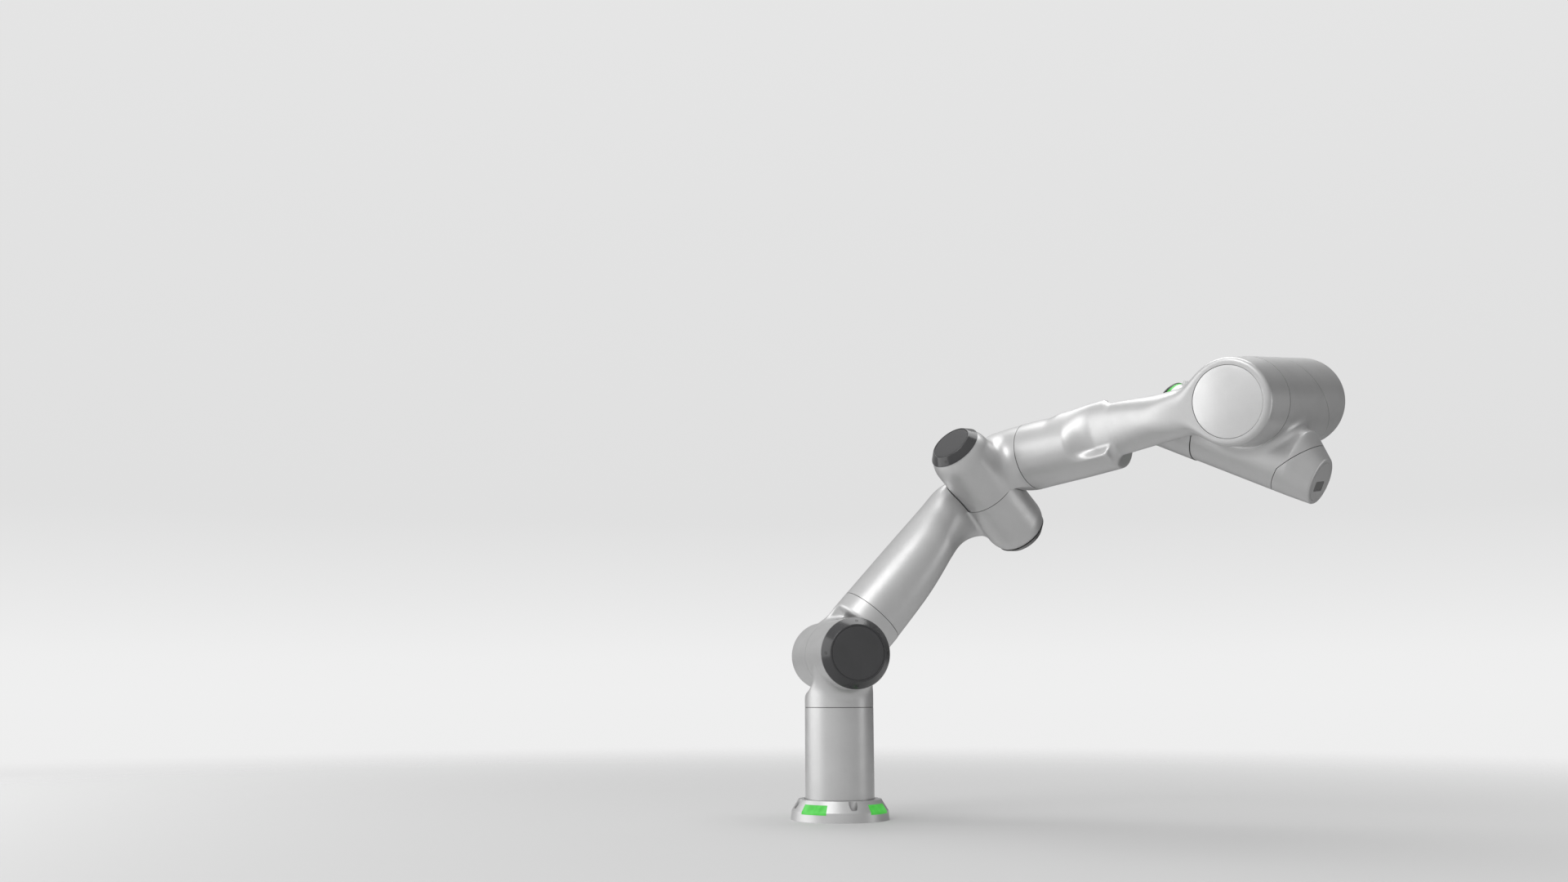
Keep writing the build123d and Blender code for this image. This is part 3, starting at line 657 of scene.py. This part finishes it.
def ring_disc(radius, rings, sides):
    """Flat disc about the origin."""
    vertices, faces = [(0.0, 0.0, 0.0)], []
    for i in range(1, rings + 1):
        r = radius * (i / rings) ** 2
        for j in range(sides):
            a = 2 * math.pi * j / sides
            vertices.append((r * math.cos(a), r * math.sin(a), 0.0))
    for j in range(sides):
        faces.append((0, 1 + j, 1 + (j + 1) % sides))
    for i in range(rings - 1):
        for j in range(sides):
            k = (j + 1) % sides
            inner, outer = 1 + i * sides, 1 + (i + 1) * sides
            faces.append((inner + j, outer + j, outer + k, inner + k))
    mesh = bpy.data.meshes.new("floor")
    mesh.from_pydata(vertices, [], faces)
    disc = bpy.data.objects.new("floor", mesh)
    bpy.context.scene.collection.objects.link(disc)
    return disc


def floor_material():
    """Pale floor that fades out into the backdrop with distance."""
    n = Nodes("floor").set(Roughness=0.65)
    n.shader.inputs["Base Color"].default_value = (0.60, 0.60, 0.60, 1)
    coord = n.add("ShaderNodeTexCoord")
    length = n.add("ShaderNodeVectorMath", operation="LENGTH")
    n.link(coord, "Object", length, 0)
    fade = n.add("ShaderNodeMapRange", interpolation_type="SMOOTHSTEP")
    fade.inputs["From Min"].default_value = FADE_FROM
    fade.inputs["From Max"].default_value = FADE_TO
    n.tree.links.new(length.outputs["Value"], fade.inputs["Value"])
    clear = n.add("ShaderNodeBsdfTransparent")
    mix = n.add("ShaderNodeMixShader")
    n.tree.links.new(fade.outputs["Result"], mix.inputs["Fac"])
    n.tree.links.new(n.shader.outputs["BSDF"], mix.inputs[1])
    n.tree.links.new(clear.outputs["BSDF"], mix.inputs[2])
    n.tree.links.new(mix.outputs["Shader"], n.tree.nodes["Material Output"].inputs["Surface"])
    return n.material


floor = ring_disc(FLOOR_RADIUS, 12, 96)
floor.data.materials.append(floor_material())


def world_ramp(tree, coord, direction, stops):
    """Grey that changes with the angle from a direction, from 0 against it to 1 along it."""
    dot = tree.nodes.new("ShaderNodeVectorMath")
    dot.operation = "DOT_PRODUCT"
    dot.inputs[1].default_value = direction
    tree.links.new(coord.outputs["Generated"], dot.inputs[0])
    shift = tree.nodes.new("ShaderNodeMapRange")
    shift.inputs["From Min"].default_value = -1
    tree.links.new(dot.outputs["Value"], shift.inputs["Value"])
    r = tree.nodes.new("ShaderNodeValToRGB")
    tree.links.new(shift.outputs["Result"], r.inputs["Fac"])
    for i, (at, grey) in enumerate(stops):
        e = r.color_ramp.elements[i] if i < 2 else r.color_ramp.elements.new(at)
        e.position = at
        e.color = (grey, grey, grey, 1)
    return r


def studio_world():
    """Backdrop that the camera sees, and a softer, one-sided surround that lights the arm."""
    world = bpy.data.worlds.new("studio")
    bpy.context.scene.world = world
    world.use_nodes = True
    tree = world.node_tree
    coord = tree.nodes.new("ShaderNodeTexCoord")
    backdrop = world_ramp(tree, coord, (0, 0, 1), [
        (0.0, 0.70), (1.0, 0.80), (0.5, 0.865), (0.513, 0.86), (0.536, 0.80), (0.560, 0.745),
        (0.66, 0.765), (0.74, 0.79)])
    above = world_ramp(tree, coord, (-0.50, 0.10, 0.86), [
        (0.0, 0.20), (1.0, 0.75), (0.42, 0.14), (0.74, 0.46)])
    front = world_ramp(tree, coord, (-0.05, -0.98, -0.10), [
        (0.0, 0.0), (1.0, 0.42), (0.55, 0.05), (0.80, 0.34)])
    light = tree.nodes.new("ShaderNodeMix")
    light.data_type, light.blend_type = "RGBA", "ADD"
    light.inputs["Factor"].default_value = 1.0
    tree.links.new(above.outputs["Color"], light.inputs[6])
    tree.links.new(front.outputs["Color"], light.inputs[7])
    seen = tree.nodes.new("ShaderNodeLightPath")
    mix = tree.nodes.new("ShaderNodeMix")
    mix.data_type = "RGBA"
    tree.links.new(seen.outputs["Is Camera Ray"], mix.inputs["Factor"])
    tree.links.new(light.outputs[2], mix.inputs[6])
    tree.links.new(backdrop.outputs["Color"], mix.inputs[7])
    background = tree.nodes["Background"]
    tree.links.new(mix.outputs[2], background.inputs["Color"])


def softbox(name, place, target, width, height, watts):
    """Rectangular light that the camera doesn't see."""
    light = bpy.data.lights.new(name, "AREA")
    light.shape = "RECTANGLE"
    light.size, light.size_y, light.energy = width, height, watts
    lamp = bpy.data.objects.new(name, light)
    bpy.context.scene.collection.objects.link(lamp)
    lamp.location = place
    lamp.visible_camera = False
    lamp.rotation_euler = (Vector(target) - Vector(place)).to_track_quat("-Z", "Y").to_euler()


studio_world()
softbox("key", (-1.4, -1.9, 2.6), (0.3, 0, 0.45), 1.6, 1.6, 22)
softbox("top", (0.6, 0.6, 2.6), (0.4, 0, 0.5), 2.2, 1.4, 22)
softbox("left_strip", (-2.3, 0.1, 0.9), (0.2, 0, 0.5), 2.4, 2.0, 20)
softbox("right_strip", (2.7, -0.5, 0.4), (0.8, -0.3, 0.4), 0.8, 1.4, 4)

CAMERA_AT = Vector((-0.0971, -2.5485, 0.2200))
PITCH, ROLL = math.radians(10.144), math.radians(-0.141)
FOCAL_LENGTH = 32.23


def place_camera():
    """Camera that looks along +Y, pitched up and slightly rolled, as in the photograph."""
    right = Vector((1, 0, 0))
    down = Vector((0, math.sin(PITCH), -math.cos(PITCH)))
    ahead = Vector((0, math.cos(PITCH), math.sin(PITCH)))
    tilted_right = right * math.cos(ROLL) - down * math.sin(ROLL)
    tilted_down = right * math.sin(ROLL) + down * math.cos(ROLL)
    data = bpy.data.cameras.new("camera")
    data.lens, data.sensor_width = FOCAL_LENGTH, 36
    camera = bpy.data.objects.new("camera", data)
    bpy.context.scene.collection.objects.link(camera)
    m = Matrix.Identity(4)
    for column, direction in enumerate((tilted_right, -tilted_down, -ahead, CAMERA_AT)):
        for row in range(3):
            m[row][column] = direction[row]
    camera.matrix_world = m
    bpy.context.scene.camera = camera


place_camera()
bpy.context.scene.view_settings.view_transform = "Standard"
